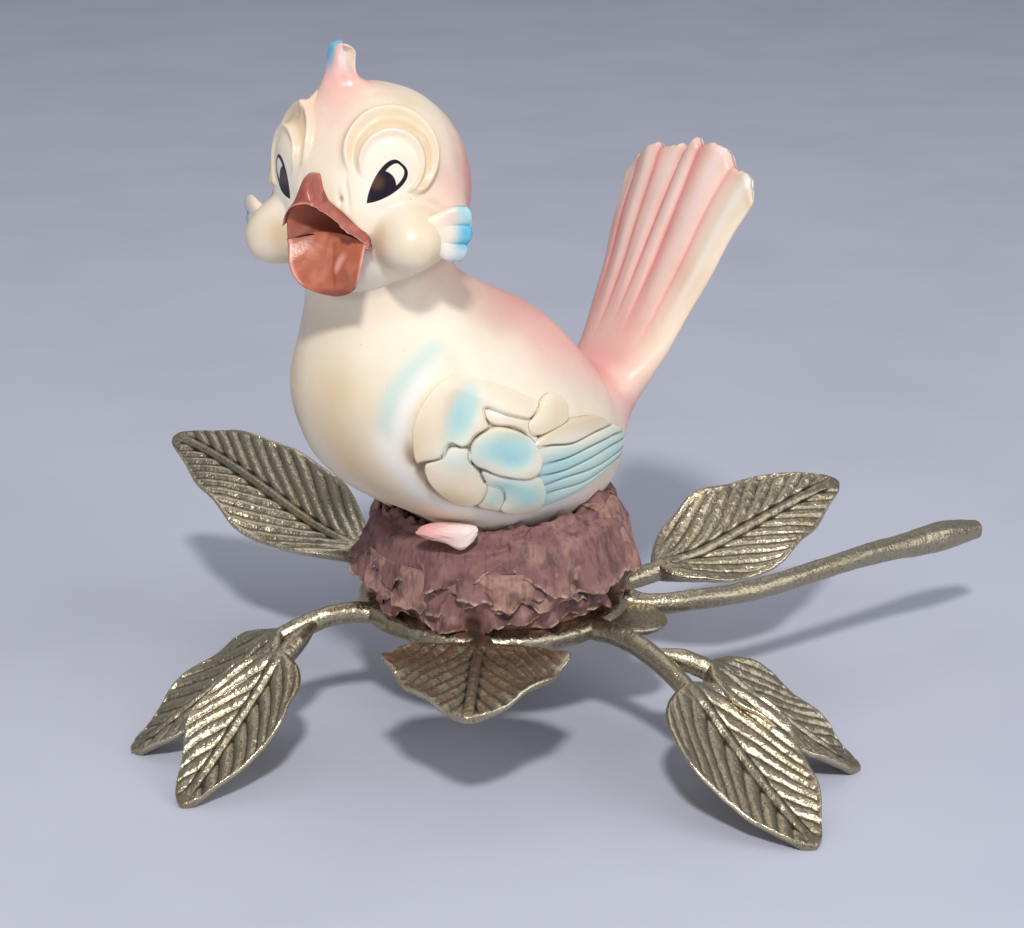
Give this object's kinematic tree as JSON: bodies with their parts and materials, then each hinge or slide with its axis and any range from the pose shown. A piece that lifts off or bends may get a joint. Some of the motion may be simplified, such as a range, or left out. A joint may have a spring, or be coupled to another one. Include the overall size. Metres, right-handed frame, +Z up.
{
  "type": "bird figurine",
  "caption": "Painted porcelain bird with an open beak and a cocked tail, sitting on a nest of clay bark flakes carried by a cast brass ring with leaf sprays and a twig.",
  "frame": {"origin": "on the table, under the middle of the whole part's outline", "axes": "+Z up; +X towards the twig's side; -Y towards the viewer, the way the broad front leaf points"},
  "size_m": [0.16, 0.129, 0.1231],
  "materials": {
    "cast_brass": "cast, dark antique patina in the grooves, worn bright on the ridges",
    "fixing_steel": "plain zinc-grey fixing",
    "nest_clay": "matt fired clay, mauve brown, dark between the flakes",
    "body_porcelain": "matt bisque, cream breast with a soft pink back",
    "head_porcelain": "matt bisque, cream with a pink crown and painted eyes",
    "upper_beak_porcelain": "rough matt paint, red brown",
    "lower_beak_porcelain": "terracotta glaze",
    "crest_porcelain": "matt bisque, pink with a blue edge",
    "tuft_porcelain": "matt bisque, cream to bright blue",
    "covert_porcelain": "matt bisque, cream lobes with teal hollows",
    "primary_porcelain": "matt bisque, cream feathers with teal between",
    "tail_porcelain": "matt bisque, pink with cream edges",
    "foot_porcelain": "matt bisque, pale pink"
  },
  "bodies": {
    "root": {"stand_ring": "cast_brass", "twig": "cast_brass", "leaf_back_left": "cast_brass", "leaf_back_right": "cast_brass", "leaf_front_centre": "cast_brass", "front_left_spray": "cast_brass", "front_right_spray": "cast_brass", "back_spray": "cast_brass", "fixing_strap": "cast_brass", "fixing_stud": "fixing_steel", "fixing_washer": "fixing_steel", "fixing_nut": "fixing_steel", "nest_core": "nest_clay", "nest_flakes_lower": "nest_clay", "nest_flakes_middle": "nest_clay", "nest_flakes_upper": "nest_clay", "bird_body": "body_porcelain", "bird_head": "head_porcelain", "upper_beak": "upper_beak_porcelain", "lower_beak": "lower_beak_porcelain", "crest_feather": "crest_porcelain", "left_cheek_tuft": "tuft_porcelain", "right_cheek_tuft": "tuft_porcelain", "left_wing_coverts": "covert_porcelain", "right_wing_coverts": "covert_porcelain", "left_wing_primaries": "primary_porcelain", "right_wing_primaries": "primary_porcelain", "tail_fan": "tail_porcelain", "left_foot": "foot_porcelain", "right_foot": "foot_porcelain"}
  },
  "joints": []
}
